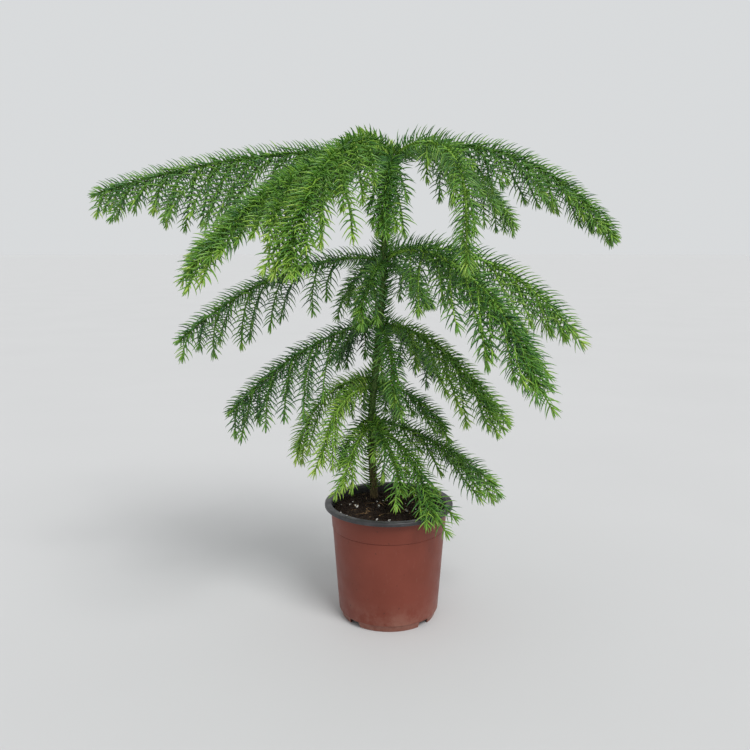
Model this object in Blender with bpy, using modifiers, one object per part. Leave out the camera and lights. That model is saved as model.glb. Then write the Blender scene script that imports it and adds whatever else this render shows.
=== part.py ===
"""A potted Norfolk Island pine: nursery pot, potting mix, trunk with its roots, and whorls of branches.

Units are metres and +Z is up. The origin is on the ground, under the centre of the pot, and the plant's
front is towards -Y. Each branch is one node: an arching shoot with its two rows of side shoots. The needles
are finer than these solids and are left out.
"""

import math
import random

import bmesh
import bpy
import numpy as np
from mathutils import Vector

# ---- pot ----
POT_HEIGHT = 0.109
RIM_RADIUS = 0.060
RIM_DROP = 0.0034
RIM_ROUND = 0.0012
WALL_TOP_RADIUS = 0.0542
WALL_FOOT_RADIUS = 0.0471
WALL = 0.0011
BAND_HEIGHT = 0.0865
BAND_STEP = 0.0005
FOOT_HEIGHT = 0.0065
FOOT_RADIUS = 0.0443
FOOT_WALL = 0.0014
FOOT_LEDGE = 0.0012
FLOOR_BOTTOM = 0.0052
FLOOR_TOP = 0.0067
DIMPLE_RADIUS = 0.0080
POT_STEPS = 48

NOTCH_COUNT = 4
NOTCH_HEIGHT = 0.0050
NOTCH_WIDTH = 0.0150
NOTCH_TOP_WIDTH = 0.0110
DRAIN_COUNT = 8
DRAIN_RADIUS = 0.00275
DRAIN_SIDES = 10
DRAIN_RING_RADIUS = 0.0330

# ---- potting mix ----
GAP = 0.0003
SOIL_HEIGHT = 0.1010
SOIL_MOUND = 0.0015
SOIL_STEPS = 40

# ---- trunk and roots ----
TRUNK_ROUTE = [
    (-0.0120, 0.0290, 0.060),
    (-0.0130, 0.0305, 0.090),
    (-0.0158, 0.0270, 0.144),
    (-0.0166, 0.0250, 0.170),
    (-0.0155, 0.0220, 0.200),
    (-0.0120, 0.0190, 0.230),
    (-0.0085, 0.0160, 0.270),
    (-0.0050, 0.0110, 0.325),
    (-0.0036, 0.0060, 0.375),
    (0.0010, 0.0010, 0.424),
    (0.0016, 0.0004, 0.432),
]
TRUNK_FOOT_RADIUS = 0.0039
TRUNK_TOP_RADIUS = 0.0022
TRUNK_SPACING = 0.020
WHORL_HEIGHTS = (0.178, 0.218, 0.274, 0.333, 0.422)
WHORL_SWELLING = 0.0012
WHORL_HALF_HEIGHT = 0.009
ROOT_COUNT = 6
ROOT_LENGTH = 0.026
ROOT_RADIUS = 0.0016
ROOT_TOP = 0.085
ROOT_DROP = 0.003
ROOT_CROWDING = 0.6
ROOT_SCATTER = 0.2
ROOT_RISE = -20
ROOT_DROOP = -60
ROOT_TURN = 20
ROOT_THINNING = 0.4
TAPROOT_DEPTH = 0.035
TAPROOT_LEAN = 0.006

# ---- branches ----
BRANCH_OFFSET = 0.0062
BRANCH_STEPS = 24
SIDE_STEPS = 6
CAD_STRIDE = 3
BEND_POWER = 0.6
SIDE_FIRST = 0.14
SIDE_LAST = 0.97
SIDE_SPREAD = 50
SPREAD_SCATTER = 12
SIDE_RISE_SHARE = 0.6
SIDE_DIP = 22
SIDE_TURN = 25
HANG_SCATTER = 14
REACH_RANGE = (0.65, 1.18)
SHORTEST_SHARE = 0.1
FULLNESS_START = 0.15
FULLNESS_END = 0.93
SHOOT_CLEARANCE = 0.0036
TRUNK_CLEARANCE = 0.0085
POT_CLEARANCE = 0.0030
SAMPLE_SPACING = 0.002
TRIM_SHARES = (1.0, 0.8, 0.6, 0.45)

# name: height, azimuth, length, rise, droop, turn, side shoots, side length, side droop
# Angles are degrees: azimuth from +X, rise where the shoot leaves, droop where it ends, turn sideways.
BRANCHES = {
    "top_left": (0.424, 174, 0.268, 10, -17, 2, 28, 0.062, -66),
    "top_front_left": (0.416, 233, 0.229, 18, -48, -14, 26, 0.060, -38),
    "top_front": (0.425, 243, 0.206, 34, -68, 0, 22, 0.066, -58),
    "top_front_short": (0.417, 272, 0.105, 30, -80, -20, 8, 0.046, -70),
    "top_front_right": (0.424, 322, 0.178, 44, -88, -68, 6, 0.032, -80),
    "top_right": (0.420, 4, 0.226, 38, -52, -2, 24, 0.046, -62),
    "top_back_right": (0.425, 44, 0.190, 26, -44, 0, 14, 0.046, -60),
    "top_back_left": (0.424, 140, 0.182, 36, -46, 0, 16, 0.056, -60),
    "second_left": (0.334, 188, 0.196, 12, -42, 2, 10, 0.056, -82),
    "second_front": (0.330, 255, 0.070, 8, -70, -20, 4, 0.034, -76),
    "second_right": (0.334, 306, 0.214, 36, -70, 18, 22, 0.070, -60),
    "second_far_right": (0.338, 340, 0.184, 28, -50, -5, 14, 0.064, -56),
    "second_back_right": (0.328, 55, 0.085, 8, -50, 0, 6, 0.036, -60),
    "second_back_left": (0.334, 125, 0.080, -6, -50, 0, 4, 0.036, -70),
    "third_left": (0.276, 194, 0.156, -4, -46, 0, 12, 0.062, -84),
    "third_front": (0.271, 283, 0.085, 5, -82, 0, 4, 0.036, -76),
    "third_right": (0.274, 326, 0.138, 8, -58, 5, 12, 0.054, -60),
    "third_back_right": (0.272, 52, 0.100, 0, -55, 0, 6, 0.044, -60),
    "third_back_left": (0.276, 130, 0.070, 5, -60, 0, 4, 0.034, -68),
    "fourth_left": (0.222, 184, 0.102, 14, -80, 0, 4, 0.052, -84),
    "fourth_front_left": (0.214, 224, 0.092, 20, -86, -8, 3, 0.046, -84),
    "fourth_right": (0.218, 348, 0.074, -4, -50, 0, 5, 0.036, -60),
    "fourth_back_right": (0.214, 70, 0.080, 5, -55, 0, 4, 0.036, -60),
    "fourth_back_left": (0.221, 122, 0.075, 5, -55, 0, 4, 0.034, -60),
    "fifth_left": (0.182, 204, 0.050, -25, -76, 0, 1, 0.026, -76),
    "fifth_front_left": (0.176, 246, 0.070, 6, -72, -10, 3, 0.030, -72),
    "fifth_front": (0.182, 284, 0.086, 8, -66, 24, 3, 0.036, -60),
    "fifth_front_right": (0.175, 308, 0.116, 12, -66, -4, 8, 0.044, -56),
    "fifth_right": (0.182, 350, 0.125, -6, -40, 0, 10, 0.054, -50),
    "fifth_back": (0.176, 80, 0.052, 5, -55, 0, 2, 0.028, -60),
}
BRANCH_ROOT_RADIUS = 0.0009
BRANCH_RADIUS_SHARE = 0.0030
BRANCH_TIP_RADIUS = 0.0007
SIDE_RADIUS = 0.0007
SIDE_TIP_RADIUS = 0.0005

TRUNK_BEVEL = 2
BRANCH_BEVEL = 1
SIDE_BEVEL = 0

# ---- colours: base colour, roughness ----
TERRACOTTA = ((0.205, 0.058, 0.038), 0.42)
PEAT = ((0.018, 0.011, 0.008), 0.95)
BARK = ((0.095, 0.060, 0.028), 0.80)
GREEN_SHOOT = ((0.110, 0.250, 0.040), 0.60)


# ---- Blender helpers ----
def new_collection(name):
    """A collection linked to the scene."""
    collection = bpy.data.collections.new(name)
    bpy.context.scene.collection.children.link(collection)
    return collection


def new_material(name, finish):
    """A Principled material from a colour and a roughness."""
    colour, roughness = finish
    material = bpy.data.materials.new(name)
    material.use_nodes = True
    shader = material.node_tree.nodes["Principled BSDF"]
    shader.inputs["Base Color"].default_value = (*colour, 1.0)
    shader.inputs["Roughness"].default_value = roughness
    shader.inputs["Metallic"].default_value = 0.0
    material.diffuse_color = (*colour, 1.0)
    return material


def new_object(name, data, collection):
    """An object in a collection."""
    piece = bpy.data.objects.new(name, data)
    collection.objects.link(piece)
    return piece


def move_to(piece, collection):
    """Take an object that an operator made out of its collections and put it in one."""
    for old in list(piece.users_collection):
        old.objects.unlink(piece)
    collection.objects.link(piece)


def hide_cutter(piece):
    """Mark an object as a cutter, which is no part of the plant."""
    piece.hide_render = True
    piece.display_type = "WIRE"


def boolean(piece, other, operation, crossing=False):
    """Cut or join another closed mesh."""
    modifier = piece.modifiers.new(operation.title(), "BOOLEAN")
    modifier.operation = operation
    modifier.object = other
    modifier.solver = "EXACT"
    modifier.use_self = crossing


def turned(name, profile, steps, collection):
    """A turned solid from a profile that starts and ends on the Z axis."""
    mesh = bpy.data.meshes.new(name)
    points = [(radius, 0.0, height) for radius, height in profile]
    edges = [(index, index + 1) for index in range(len(points) - 1)]
    mesh.from_pydata(points, edges, [])
    piece = new_object(name, mesh, collection)
    screw = piece.modifiers.new("Turn", "SCREW")
    screw.steps = steps
    screw.render_steps = steps
    screw.use_merge_vertices = True
    screw.merge_threshold = 0.00001
    screw.use_smooth_shade = True
    return piece


def tubes(name, routes, bevel, collection):
    """A mesh of tapered round tubes with closed ends. A route is a list of (point, radius)."""
    curve = bpy.data.curves.new(name, "CURVE")
    curve.dimensions = "3D"
    curve.bevel_depth = 1.0
    curve.bevel_resolution = bevel
    curve.use_fill_caps = True
    for route in routes:
        spline = curve.splines.new("POLY")
        spline.points.add(len(route) - 1)
        for target, (point, radius) in zip(spline.points, route):
            target.co = (*point, 1.0)
            target.radius = radius
    curve_object = new_object(name + "_curve", curve, collection)
    graph = bpy.context.evaluated_depsgraph_get()
    mesh = bpy.data.meshes.new_from_object(curve_object.evaluated_get(graph))
    mesh.name = name
    weld(mesh)
    mesh.shade_smooth()
    piece = new_object(name, mesh, collection)
    piece.matrix_world = curve_object.matrix_world
    bpy.data.objects.remove(curve_object)
    return piece


def weld(mesh):
    """Join the loose caps of a tube to its wall."""
    shape = bmesh.new()
    shape.from_mesh(mesh)
    bmesh.ops.remove_doubles(shape, verts=shape.verts, dist=0.000001)
    shape.to_mesh(mesh)
    shape.free()


# ---- pot and potting mix ----
def wall_radius(height):
    """Outer radius of the pot's tapering wall, without its upper band."""
    share = (height - FOOT_HEIGHT) / (POT_HEIGHT - FOOT_HEIGHT)
    return WALL_FOOT_RADIUS + (WALL_TOP_RADIUS - WALL_FOOT_RADIUS) * share


def pot_profile():
    """Half section of the pot: floor, inner wall, rolled rim, outer wall, foot ring and central dimple."""
    rim_bottom = POT_HEIGHT - RIM_DROP
    flange_bottom = POT_HEIGHT - RIM_ROUND - WALL
    return [
        (0.0, WALL),
        (DIMPLE_RADIUS - WALL, WALL),
        (DIMPLE_RADIUS, FLOOR_TOP),
        (wall_radius(FLOOR_TOP) - WALL - RIM_ROUND, FLOOR_TOP),
        (wall_radius(FLOOR_TOP) - WALL, FLOOR_TOP + RIM_ROUND),
        (wall_radius(flange_bottom) - WALL, flange_bottom),
        (wall_radius(POT_HEIGHT) - WALL + RIM_ROUND, POT_HEIGHT),
        (RIM_RADIUS - RIM_ROUND, POT_HEIGHT),
        (RIM_RADIUS, POT_HEIGHT - RIM_ROUND),
        (RIM_RADIUS, rim_bottom),
        (RIM_RADIUS - WALL, rim_bottom),
        (RIM_RADIUS - WALL, flange_bottom),
        (wall_radius(flange_bottom) + BAND_STEP, flange_bottom),
        (wall_radius(BAND_HEIGHT) + BAND_STEP, BAND_HEIGHT),
        (wall_radius(BAND_HEIGHT), BAND_HEIGHT - BAND_STEP),
        (WALL_FOOT_RADIUS, FOOT_HEIGHT),
        (WALL_FOOT_RADIUS - FOOT_LEDGE, FOOT_HEIGHT),
        (FOOT_RADIUS, 0.0),
        (FOOT_RADIUS - FOOT_WALL, 0.0),
        (WALL_FOOT_RADIUS - FOOT_LEDGE - FOOT_WALL, FLOOR_BOTTOM),
        (DIMPLE_RADIUS + WALL, FLOOR_BOTTOM),
        (DIMPLE_RADIUS, 0.0),
        (0.0, 0.0),
    ]


def on_ring(radius, index, count):
    """A point of a ring of `count`, which starts halfway to the first step."""
    angle = 2.0 * math.pi * (index + 0.5) / count
    return radius * math.cos(angle), radius * math.sin(angle), angle


def cut_notches(pot, cutters):
    """Cut the gaps with slanted sides that split the foot ring into feet."""
    for index in range(NOTCH_COUNT):
        x, y, angle = on_ring(FOOT_RADIUS, index, NOTCH_COUNT)
        bpy.ops.mesh.primitive_cone_add(
            vertices=4,
            radius1=NOTCH_WIDTH / math.sqrt(2.0),
            radius2=NOTCH_TOP_WIDTH / math.sqrt(2.0),
            depth=2.0 * NOTCH_HEIGHT,
            location=(x, y, 0.0),
            rotation=(0.0, 0.0, angle + math.pi / 4.0),
        )
        notch = bpy.context.object
        notch.name = "foot_notch_cutter_%d" % (index + 1)
        move_to(notch, cutters)
        hide_cutter(notch)
        boolean(pot, notch, "DIFFERENCE")


def cut_drains(pot, cutters):
    """Cut the drainage holes in the floor."""
    for index in range(DRAIN_COUNT):
        x, y, angle = on_ring(DRAIN_RING_RADIUS, index, DRAIN_COUNT)
        bpy.ops.mesh.primitive_cylinder_add(
            vertices=DRAIN_SIDES,
            radius=DRAIN_RADIUS,
            depth=2.0 * (FLOOR_TOP - FLOOR_BOTTOM),
            location=(x, y, (FLOOR_TOP + FLOOR_BOTTOM) / 2.0),
            rotation=(0.0, 0.0, angle),
        )
        drain = bpy.context.object
        drain.name = "drain_cutter_%d" % (index + 1)
        move_to(drain, cutters)
        hide_cutter(drain)
        boolean(pot, drain, "DIFFERENCE")


def build_pot(parts, cutters):
    """The thin plastic pot."""
    pot = turned("nursery_pot", pot_profile(), POT_STEPS, parts)
    cut_notches(pot, cutters)
    cut_drains(pot, cutters)
    pot.data.materials.append(new_material("pot_plastic", TERRACOTTA))


def build_soil(parts, root_space):
    """The plug of potting mix, with the space that the roots and the trunk fill."""
    bottom = FLOOR_TOP + GAP
    inner = WALL + GAP
    profile = [
        (0.0, SOIL_HEIGHT + SOIL_MOUND),
        (0.5 * WALL_FOOT_RADIUS, SOIL_HEIGHT + 0.8 * SOIL_MOUND),
        (0.8 * WALL_FOOT_RADIUS, SOIL_HEIGHT + 0.3 * SOIL_MOUND),
        (wall_radius(SOIL_HEIGHT) - inner, SOIL_HEIGHT),
        (wall_radius(bottom) - inner, bottom + RIM_ROUND),
        (wall_radius(bottom) - inner - RIM_ROUND, bottom),
        (0.0, bottom),
    ]
    soil = turned("potting_soil", profile, SOIL_STEPS, parts)
    boolean(soil, root_space, "DIFFERENCE", crossing=True)
    soil.data.materials.append(new_material("peat_mix", PEAT))


# ---- trunk and roots ----
def trunk_centre(height):
    """The trunk's centre at a height."""
    for low, high in zip(TRUNK_ROUTE, TRUNK_ROUTE[1:]):
        if height <= high[2]:
            break
    share = (height - low[2]) / (high[2] - low[2])
    return Vector(low).lerp(Vector(high), share)


def trunk_radius(height):
    """The trunk's radius at a height, with a swelling at each whorl."""
    base, top = TRUNK_ROUTE[1][2], TRUNK_ROUTE[-1][2]
    share = min(1.0, max(0.0, (height - base) / (top - base)))
    radius = TRUNK_FOOT_RADIUS + (TRUNK_TOP_RADIUS - TRUNK_FOOT_RADIUS) * share
    for whorl in WHORL_HEIGHTS:
        nearness = max(0.0, 1.0 - abs(height - whorl) / WHORL_HALF_HEIGHT)
        radius += WHORL_SWELLING * nearness
    return radius


def trunk_heights():
    """Heights of the trunk's rings: even steps, and three to each whorl."""
    bottom, top = TRUNK_ROUTE[0][2], TRUNK_ROUTE[-1][2]
    heights = {bottom, top}
    for whorl in WHORL_HEIGHTS:
        heights.update((whorl - WHORL_HALF_HEIGHT, whorl, whorl + WHORL_HALF_HEIGHT))
    count = round((top - bottom) / TRUNK_SPACING)
    for index in range(1, count):
        height = bottom + (top - bottom) * index / count
        if min(abs(height - other) for other in heights) > TRUNK_SPACING / 3.0:
            heights.add(height)
    return sorted(heights)


def trunk_route(extra):
    """The trunk and its taproot as one tapered route, `extra` larger all round."""
    root_end = Vector(TRUNK_ROUTE[0]) - Vector((0.0, TAPROOT_LEAN, TAPROOT_DEPTH))
    route = [(root_end, ROOT_RADIUS + extra)]
    for height in trunk_heights():
        route.append((trunk_centre(height), trunk_radius(height) + extra))
    return route


def root_routes(extra):
    """Lateral roots, spread round the taproot, running down and out, and shorter towards the near wall."""
    rng = random.Random("roots")
    routes = []
    for index in range(ROOT_COUNT):
        azimuth = 360.0 * (index + rng.uniform(-ROOT_SCATTER, ROOT_SCATTER)) / ROOT_COUNT
        start = trunk_centre(ROOT_TOP - ROOT_DROP * index)
        crowding = max(0.0, math.sin(math.radians(azimuth)))
        length = ROOT_LENGTH * (1.0 - ROOT_CROWDING * crowding)
        turn = rng.uniform(-ROOT_TURN, ROOT_TURN)
        points, _ = grow(start, azimuth, ROOT_RISE, ROOT_DROOP, turn, length, SIDE_STEPS)
        kept = points[::CAD_STRIDE]
        radii = [ROOT_RADIUS * (1.0 - ROOT_THINNING * step) for step in range(len(kept))]
        routes.append([(point, radius + extra) for point, radius in zip(kept, radii)])
    return routes


def build_trunk(parts, cutters):
    """The trunk with its roots as one solid. Returns the space that it needs in the potting mix."""
    trunk = tubes("trunk", [trunk_route(0.0)], TRUNK_BEVEL, parts)
    roots = tubes("roots_tool", root_routes(0.0), SIDE_BEVEL, cutters)
    hide_cutter(roots)
    boolean(trunk, roots, "UNION", crossing=True)
    trunk.data.materials.append(new_material("bark", BARK))
    space = tubes("root_space", [trunk_route(GAP)], TRUNK_BEVEL, cutters)
    root_space = tubes("lateral_root_space", root_routes(GAP), SIDE_BEVEL, cutters)
    hide_cutter(space)
    hide_cutter(root_space)
    boolean(space, root_space, "UNION", crossing=True)
    return space


# ---- branches ----
def heading(azimuth, elevation):
    """The unit vector at an azimuth and an elevation in degrees."""
    azimuth = math.radians(azimuth)
    elevation = math.radians(elevation)
    level = math.cos(elevation)
    return Vector((level * math.cos(azimuth), level * math.sin(azimuth), math.sin(elevation)))


def grow(start, azimuth, rise, droop, turn, length, steps):
    """Points and headings of a shoot that leaves at `rise`, bends down to `droop` and swings by `turn`."""
    points = [Vector(start)]
    headings = []
    for step in range(steps):
        share = (step + 0.5) / steps
        elevation = rise + (droop - rise) * share ** BEND_POWER
        side = azimuth + turn * share
        headings.append((side, elevation))
        points.append(points[-1] + heading(side, elevation) * (length / steps))
    return points, headings


def sampled(points):
    """Points along a route, no more than the sample spacing apart."""
    samples = [np.array(points[0])]
    for first, second in zip(points, points[1:]):
        count = max(1, math.ceil((second - first).length / SAMPLE_SPACING))
        for index in range(count):
            samples.append(np.array(first.lerp(second, (index + 1) / count)))
    return np.array(samples)


def is_clear(samples, name, taken):
    """Whether a shoot's samples keep clear of the trunk, the pot and every other branch."""
    for x, y, z in samples:
        centre = trunk_centre(z)
        if math.hypot(x - centre.x, y - centre.y) < TRUNK_CLEARANCE:
            return False
        if z < POT_HEIGHT + POT_CLEARANCE and math.hypot(x, y) < RIM_RADIUS + POT_CLEARANCE:
            return False
    for other, cloud in taken:
        if other != name:
            apart = np.linalg.norm(samples[:, None, :] - cloud[None, :, :], axis=2)
            if apart.min() < SHOOT_CLEARANCE:
                return False
    return True


def side_length(share, length):
    """Length of a side shoot: longest in the middle of the branch and shorter towards its ends."""
    fullness = math.sin(math.pi * (FULLNESS_START + (FULLNESS_END - FULLNESS_START) * share))
    return length * (SHORTEST_SHARE + (1.0 - SHORTEST_SHARE) * fullness)


def side_shoots(name, points, headings, taken):
    """The side shoots of a branch, left and right in turn, each trimmed until it is clear."""
    count, length, hang = BRANCHES[name][6:]
    rng = random.Random(name)
    shoots = []
    for index in range(count):
        share = SIDE_FIRST + (SIDE_LAST - SIDE_FIRST) * (index + 0.5) / count
        step = int(share * BRANCH_STEPS)
        start = points[step].lerp(points[step + 1], share * BRANCH_STEPS - step)
        azimuth, elevation = headings[step]
        side = 1 if index % 2 else -1
        leave = azimuth + side * (SIDE_SPREAD + rng.uniform(-SPREAD_SCATTER, SPREAD_SCATTER))
        reach = side_length(share, length) * rng.uniform(*REACH_RANGE)
        rise = SIDE_RISE_SHARE * elevation - SIDE_DIP
        droop = hang + rng.uniform(-HANG_SCATTER, HANG_SCATTER)
        for trim in TRIM_SHARES:
            shoot, _ = grow(start, leave, rise, droop, -SIDE_TURN * side, reach * trim, SIDE_STEPS)
            samples = np.concatenate([sampled(shoot), sampled(shoot[::CAD_STRIDE])])
            if is_clear(samples, name, taken):
                shoots.append(shoot)
                taken.append((name, samples))
                break
    return shoots


def grow_branches():
    """Every branch's points, and its side shoots' points, by name."""
    axes = {}
    taken = []
    for name, (height, azimuth, length, rise, droop, turn, _, _, _) in BRANCHES.items():
        start = trunk_centre(height) + heading(azimuth, 0) * BRANCH_OFFSET
        axes[name] = grow(start, azimuth, rise, droop, turn, length, BRANCH_STEPS)
        taken.append((name, sampled(axes[name][0])))
    return {
        name: (points, side_shoots(name, points, headings, taken))
        for name, (points, headings) in axes.items()
    }


def tapered(points, first, last):
    """A route whose radius runs evenly from `first` to `last`."""
    final = len(points) - 1
    return [(point, first + (last - first) * index / final) for index, point in enumerate(points)]


def build_branches(parts, cutters):
    """One solid for each branch: its axis joined to its side shoots."""
    for name, (points, shoots) in grow_branches().items():
        radius = BRANCH_ROOT_RADIUS + BRANCH_RADIUS_SHARE * BRANCHES[name][2]
        axis = tapered(points[::CAD_STRIDE], radius, BRANCH_TIP_RADIUS)
        branch = tubes("branch_" + name, [axis], BRANCH_BEVEL, parts)
        routes = [tapered(shoot[::CAD_STRIDE], SIDE_RADIUS, SIDE_TIP_RADIUS) for shoot in shoots]
        sides = tubes(name + "_side_shoots", routes, SIDE_BEVEL, cutters)
        hide_cutter(sides)
        boolean(branch, sides, "UNION", crossing=True)
        branch.data.materials.append(new_material("shoot_" + name, GREEN_SHOOT))


def main():
    """Clear the scene and build every node."""
    for old in list(bpy.data.objects):
        bpy.data.objects.remove(old)
    parts = new_collection("potted_norfolk_pine")
    cutters = new_collection("cutters")
    build_pot(parts, cutters)
    root_space = build_trunk(parts, cutters)
    build_soil(parts, root_space)
    build_branches(parts, cutters)


main()
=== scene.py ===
"""The looks of the potted Norfolk Island pine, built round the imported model.

Units are metres, +Z is up and the plant's front is towards -Y. The branches are grown here by the same
rules as in the model, then clothed with needles. Needles, twigs, bark, soil crumbs and the moulded pot are
all real meshes.
"""

import math
import random

import bmesh
import bpy
import numpy as np
from mathutils import Euler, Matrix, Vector, noise


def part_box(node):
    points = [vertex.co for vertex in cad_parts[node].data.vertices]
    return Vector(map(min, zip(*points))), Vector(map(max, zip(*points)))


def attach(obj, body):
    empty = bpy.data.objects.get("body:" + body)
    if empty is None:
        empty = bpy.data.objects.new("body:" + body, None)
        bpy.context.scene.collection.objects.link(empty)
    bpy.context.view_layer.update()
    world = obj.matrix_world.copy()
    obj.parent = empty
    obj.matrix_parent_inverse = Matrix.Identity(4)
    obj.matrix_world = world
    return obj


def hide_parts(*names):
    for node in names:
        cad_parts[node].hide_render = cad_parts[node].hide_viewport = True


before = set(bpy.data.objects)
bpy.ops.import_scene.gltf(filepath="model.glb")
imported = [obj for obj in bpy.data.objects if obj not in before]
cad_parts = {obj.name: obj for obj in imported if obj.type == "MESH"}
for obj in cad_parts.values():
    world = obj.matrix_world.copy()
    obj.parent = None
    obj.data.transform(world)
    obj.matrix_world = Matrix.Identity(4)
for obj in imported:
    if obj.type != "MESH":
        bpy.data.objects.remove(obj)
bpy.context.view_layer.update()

# ---- camera ----
CAMERA_PLACE = (-0.0129, -0.682, 0.342)
CAMERA_PITCH = 9.4
CAMERA_LENS = 36.24
SENSOR = 36.0

# ---- pot ----
POT_HEIGHT = 0.109
RIM_RADIUS = 0.060
RIM_DROP = 0.0034
RIM_ROUND = 0.0012
WALL_TOP_RADIUS = 0.0542
WALL_FOOT_RADIUS = 0.0471
WALL = 0.0011
BAND_HEIGHT = 0.0865
BAND_STEP = 0.0005
BAND_GROOVE = 0.0006
EDGE_ROUND = 0.0004
LEDGE_ROUND = 0.0002
GROOVE_ROUND = 0.0001
FOOT_HEIGHT = 0.0065
FOOT_RADIUS = 0.0443
FOOT_WALL = 0.0014
FOOT_LEDGE = 0.0012
FLOOR_BOTTOM = 0.0052
FLOOR_TOP = 0.0067
DIMPLE_RADIUS = 0.0080
GAP = 0.0003
SOIL_HEIGHT = 0.1010
SOIL_MOUND = 0.0015
SOIL_RADIUS = 0.0522
SOIL_STEPS = 144
SOIL_RINGS = 44
LUMP_HEIGHT = 0.0011
LUMP_FREQUENCY = 90.0
TRUNK_KEEP_OUT = 0.0050
SOIL_EDGE = 0.001
POT_STEPS = 192
SHARP_ANGLE = 38.0
DRAIN_SIDES = 24
NOTCH_COUNT = 4
NOTCH_HEIGHT = 0.0050
NOTCH_WIDTH = 0.0150
NOTCH_TOP_WIDTH = 0.0110
DRAIN_COUNT = 8
DRAIN_RADIUS = 0.00275
DRAIN_RING_RADIUS = 0.0330

# ---- grains and litter on the potting mix: counts and sizes ----
CRUMB_COUNT = 2600
CRUMB_SIZES = (0.0006, 0.0017)
CRUMB_SINK = 0.25
PERLITE_COUNT = 34
PERLITE_SIZES = (0.0007, 0.0014)
PERLITE_SINK = 0.55
GRAIN_STRETCH = (0.65, 1.25)
GRAIN_JITTER = (0.78, 1.18)
LITTER_COUNT = 60
LITTER_SPREAD = 0.92
LITTER_LENGTHS = (0.004, 0.013)
LITTER_RADII = (0.00022, 0.00042)
LITTER_TIP_RADIUS = 0.00012
LITTER_LIFT = 0.0012
LITTER_RISES = (-4, 14)
LITTER_DROOP = -8
LITTER_TURNS = (-70, 70)

# ---- trunk and branches, as in the model ----
TRUNK_ROUTE = [
    (-0.0120, 0.0290, 0.060),
    (-0.0130, 0.0305, 0.090),
    (-0.0158, 0.0270, 0.144),
    (-0.0166, 0.0250, 0.170),
    (-0.0155, 0.0220, 0.200),
    (-0.0120, 0.0190, 0.230),
    (-0.0085, 0.0160, 0.270),
    (-0.0050, 0.0110, 0.325),
    (-0.0036, 0.0060, 0.375),
    (0.0010, 0.0010, 0.424),
    (0.0016, 0.0004, 0.432),
]
TRUNK_FOOT_RADIUS = 0.0039
TRUNK_TOP_RADIUS = 0.0022
WHORL_HEIGHTS = (0.178, 0.218, 0.274, 0.333, 0.422)
WHORL_SWELLING = 0.0012
WHORL_HALF_HEIGHT = 0.009
BRANCH_OFFSET = 0.0062
PLACE_SLACK = 0.004
BRANCH_STEPS = 24
SIDE_STEPS = 6
CAD_STRIDE = 3
BEND_POWER = 0.6
SIDE_FIRST = 0.14
SIDE_LAST = 0.97
SIDE_SPREAD = 50
SPREAD_SCATTER = 12
SIDE_RISE_SHARE = 0.6
SIDE_DIP = 22
SIDE_TURN = 25
HANG_SCATTER = 14
REACH_RANGE = (0.65, 1.18)
SHORTEST_SHARE = 0.1
FULLNESS_START = 0.15
FULLNESS_END = 0.93
SHOOT_CLEARANCE = 0.0036
TRUNK_CLEARANCE = 0.0085
POT_CLEARANCE = 0.0030
SAMPLE_SPACING = 0.002
TRIM_SHARES = (1.0, 0.8, 0.6, 0.45)

# name: height, azimuth, length, rise, droop, turn, side shoots, side length, side droop
# Angles are degrees: azimuth from +X, rise where the shoot leaves, droop where it ends, turn sideways.
BRANCHES = {
    "top_left": (0.424, 174, 0.268, 10, -17, 2, 28, 0.062, -66),
    "top_front_left": (0.416, 233, 0.229, 18, -48, -14, 26, 0.060, -38),
    "top_front": (0.425, 243, 0.206, 34, -68, 0, 22, 0.066, -58),
    "top_front_short": (0.417, 272, 0.105, 30, -80, -20, 8, 0.046, -70),
    "top_front_right": (0.424, 322, 0.178, 44, -88, -68, 6, 0.032, -80),
    "top_right": (0.420, 4, 0.226, 38, -52, -2, 24, 0.046, -62),
    "top_back_right": (0.425, 44, 0.190, 26, -44, 0, 14, 0.046, -60),
    "top_back_left": (0.424, 140, 0.182, 36, -46, 0, 16, 0.056, -60),
    "second_left": (0.334, 188, 0.196, 12, -42, 2, 10, 0.056, -82),
    "second_front": (0.330, 255, 0.070, 8, -70, -20, 4, 0.034, -76),
    "second_right": (0.334, 306, 0.214, 36, -70, 18, 22, 0.070, -60),
    "second_far_right": (0.338, 340, 0.184, 28, -50, -5, 14, 0.064, -56),
    "second_back_right": (0.328, 55, 0.085, 8, -50, 0, 6, 0.036, -60),
    "second_back_left": (0.334, 125, 0.080, -6, -50, 0, 4, 0.036, -70),
    "third_left": (0.276, 194, 0.156, -4, -46, 0, 12, 0.062, -84),
    "third_front": (0.271, 283, 0.085, 5, -82, 0, 4, 0.036, -76),
    "third_right": (0.274, 326, 0.138, 8, -58, 5, 12, 0.054, -60),
    "third_back_right": (0.272, 52, 0.100, 0, -55, 0, 6, 0.044, -60),
    "third_back_left": (0.276, 130, 0.070, 5, -60, 0, 4, 0.034, -68),
    "fourth_left": (0.222, 184, 0.102, 14, -80, 0, 4, 0.052, -84),
    "fourth_front_left": (0.214, 224, 0.092, 20, -86, -8, 3, 0.046, -84),
    "fourth_right": (0.218, 348, 0.074, -4, -50, 0, 5, 0.036, -60),
    "fourth_back_right": (0.214, 70, 0.080, 5, -55, 0, 4, 0.036, -60),
    "fourth_back_left": (0.221, 122, 0.075, 5, -55, 0, 4, 0.034, -60),
    "fifth_left": (0.182, 204, 0.050, -25, -76, 0, 1, 0.026, -76),
    "fifth_front_left": (0.176, 246, 0.070, 6, -72, -10, 3, 0.030, -72),
    "fifth_front": (0.182, 284, 0.086, 8, -66, 24, 3, 0.036, -60),
    "fifth_front_right": (0.175, 308, 0.116, 12, -66, -4, 8, 0.044, -56),
    "fifth_right": (0.182, 350, 0.125, -6, -40, 0, 10, 0.054, -50),
    "fifth_back": (0.176, 80, 0.052, 5, -55, 0, 2, 0.028, -60),
}
BRANCH_ROOT_RADIUS = 0.0009
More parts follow.
